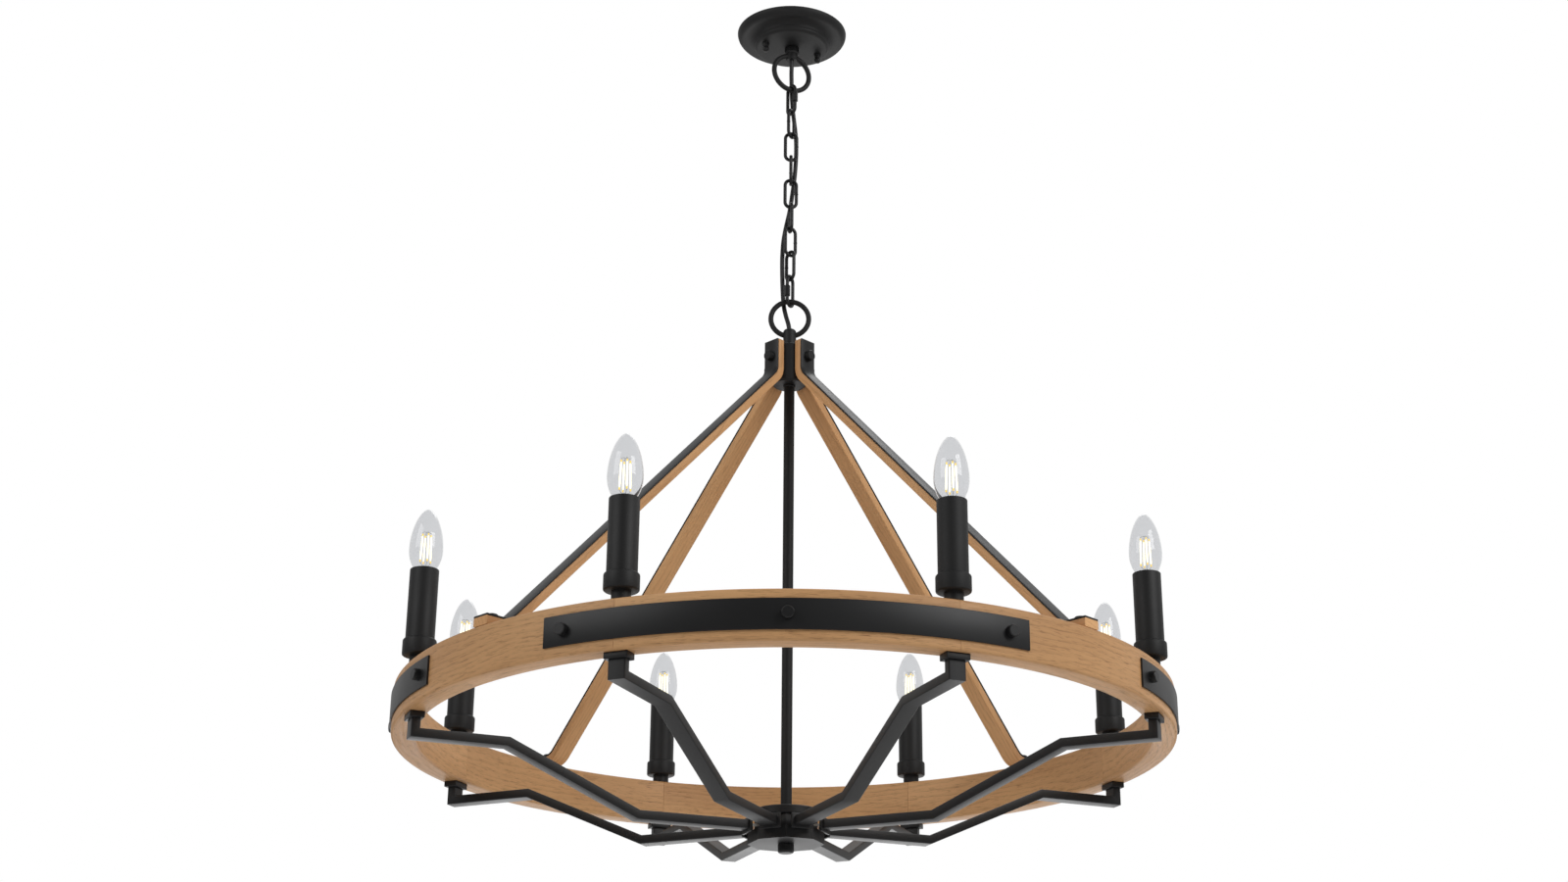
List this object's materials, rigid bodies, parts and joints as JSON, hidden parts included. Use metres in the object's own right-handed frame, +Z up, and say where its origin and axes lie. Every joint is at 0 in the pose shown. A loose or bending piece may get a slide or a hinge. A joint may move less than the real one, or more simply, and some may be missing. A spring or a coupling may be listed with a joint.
{
  "type": "wagon wheel chandelier",
  "caption": "Chain-hung chandelier with a wooden ring, bent strapped struts, cranked black arms and candle lamps under clear bulbs.",
  "frame": {"origin": "centre of the ceiling bracket's face against the ceiling", "axes": "+Z up into the ceiling, -Y towards the side that is seen in the picture"},
  "size_m": [0.8568, 0.8568, 1.0068],
  "materials": {
    "black_metal": "satin black powder coat",
    "wood": "clear-coated light ash with open grain",
    "zinc_steel": "zinc plated",
    "white_plastic": "matt moulded",
    "black_cord": "matt sheath",
    "bulb_glass": "clear",
    "bulb_cap": "plated",
    "filament": "phosphor coated filaments on a glass mount"
  },
  "bodies": {
    "ceiling_plate": {"ceiling_bracket": "zinc_steel", "canopy_studs": "zinc_steel", "terminal_block": "white_plastic", "canopy": "black_metal", "canopy_cap_nuts": "black_metal", "loop_nipple": "zinc_steel", "nipple_locknut": "zinc_steel", "loop_collar": "black_metal", "upper_loop": "black_metal", "cord": "black_cord"},
    "upper_quick_link": {"quick_link_top": "black_metal"},
    "link_1": {"chain_link_1": "black_metal"},
    "link_2": {"chain_link_2": "black_metal"},
    "link_3": {"chain_link_3": "black_metal"},
    "link_4": {"chain_link_4": "black_metal"},
    "link_5": {"chain_link_5": "black_metal"},
    "link_6": {"chain_link_6": "black_metal"},
    "link_7": {"chain_link_7": "black_metal"},
    "lower_quick_link": {"quick_link_bottom": "black_metal"},
    "fixture": {"lower_loop": "black_metal", "head_block": "black_metal", "centre_rod": "black_metal", "rod_nut": "black_metal", "strut_1": "wood", "strut_2": "wood", "strut_3": "wood", "strut_4": "wood", "strap_1": "black_metal", "strap_2": "black_metal", "strap_3": "black_metal", "strap_4": "black_metal", "foot_bolts": "black_metal", "wood_ring": "wood", "rim_plate_1": "black_metal", "rim_plate_2": "black_metal", "rim_plate_3": "black_metal", "rim_plate_4": "black_metal", "short_bolts": "black_metal", "arm_1": "black_metal", "arm_2": "black_metal", "arm_3": "black_metal", "arm_4": "black_metal", "arm_5": "black_metal", "arm_6": "black_metal", "arm_7": "black_metal", "arm_8": "black_metal", "hub_top_disc": "black_metal", "hub_core": "black_metal", "hub_bottom_plate": "black_metal", "finial": "black_metal", "wiring_harness": "white_plastic", "candle_stems": "black_metal", "candle_cups": "black_metal", "candle_sleeves": "black_metal", "lampholders": "white_plastic", "bulb_glasses": "bulb_glass", "bulb_caps": "bulb_cap", "bulb_filaments": "filament"},
    "upper_sleeve_nut": {"quick_nut_top": "black_metal"},
    "lower_sleeve_nut": {"quick_nut_bottom": "black_metal"}
  },
  "joints": [
    {"name": "upper_quick_link_rock", "type": "hinge", "parent": "ceiling_plate", "child": "upper_quick_link", "pos_m": [0, 0, -0.0774], "axis": [0.9063, 0.4226, 0], "range_deg": [-8, 8], "deforming": ["cord"]},
    {"name": "link_1_rock", "type": "hinge", "parent": "upper_quick_link", "child": "link_1", "pos_m": [0, 0, -0.1101], "axis": [-0.6428, 0.766, 0], "range_deg": [-8, 8], "deforming": ["cord"]},
    {"name": "link_2_rock", "type": "hinge", "parent": "link_1", "child": "link_2", "pos_m": [0, 0, -0.1418], "axis": [0.4695, 0.8829, 0], "range_deg": [-8, 8], "deforming": ["cord"]},
    {"name": "link_3_rock", "type": "hinge", "parent": "link_2", "child": "link_3", "pos_m": [0, 0, -0.1735], "axis": [1, 0, 0], "range_deg": [-8, 8], "deforming": ["cord"]},
    {"name": "link_4_rock", "type": "hinge", "parent": "link_3", "child": "link_4", "pos_m": [0, 0, -0.2052], "axis": [0, 1, 0], "range_deg": [-8, 8], "deforming": ["cord"]},
    {"name": "link_5_rock", "type": "hinge", "parent": "link_4", "child": "link_5", "pos_m": [0, 0, -0.2369], "axis": [0.9848, 0.1736, 0], "range_deg": [-8, 8], "deforming": ["cord"]},
    {"name": "link_6_rock", "type": "hinge", "parent": "link_5", "child": "link_6", "pos_m": [0, 0, -0.2686], "axis": [-0.225, 0.9744, 0], "range_deg": [-8, 8], "deforming": ["cord"]},
    {"name": "link_7_rock", "type": "hinge", "parent": "link_6", "child": "link_7", "pos_m": [0, 0, -0.3003], "axis": [0.8572, 0.515, 0], "range_deg": [-8, 8], "deforming": ["cord"]},
    {"name": "lower_quick_link_rock", "type": "hinge", "parent": "link_7", "child": "lower_quick_link", "pos_m": [0, 0, -0.332], "axis": [-0.6293, 0.7771, 0], "range_deg": [-8, 8], "deforming": ["cord"]},
    {"name": "fixture_swing", "type": "hinge", "parent": "lower_quick_link", "child": "fixture", "pos_m": [0, 0, -0.3657], "axis": [0.4695, 0.8829, 0], "range_deg": [-8, 8], "deforming": ["cord"]},
    {"name": "upper_nut_travel", "type": "slide", "parent": "upper_quick_link", "child": "upper_sleeve_nut", "axis": [0, 0, -1], "range_m": [0, 0.0065]},
    {"name": "lower_nut_travel", "type": "slide", "parent": "lower_quick_link", "child": "lower_sleeve_nut", "axis": [0, 0, 1], "range_m": [0, 0.0065]}
  ]
}
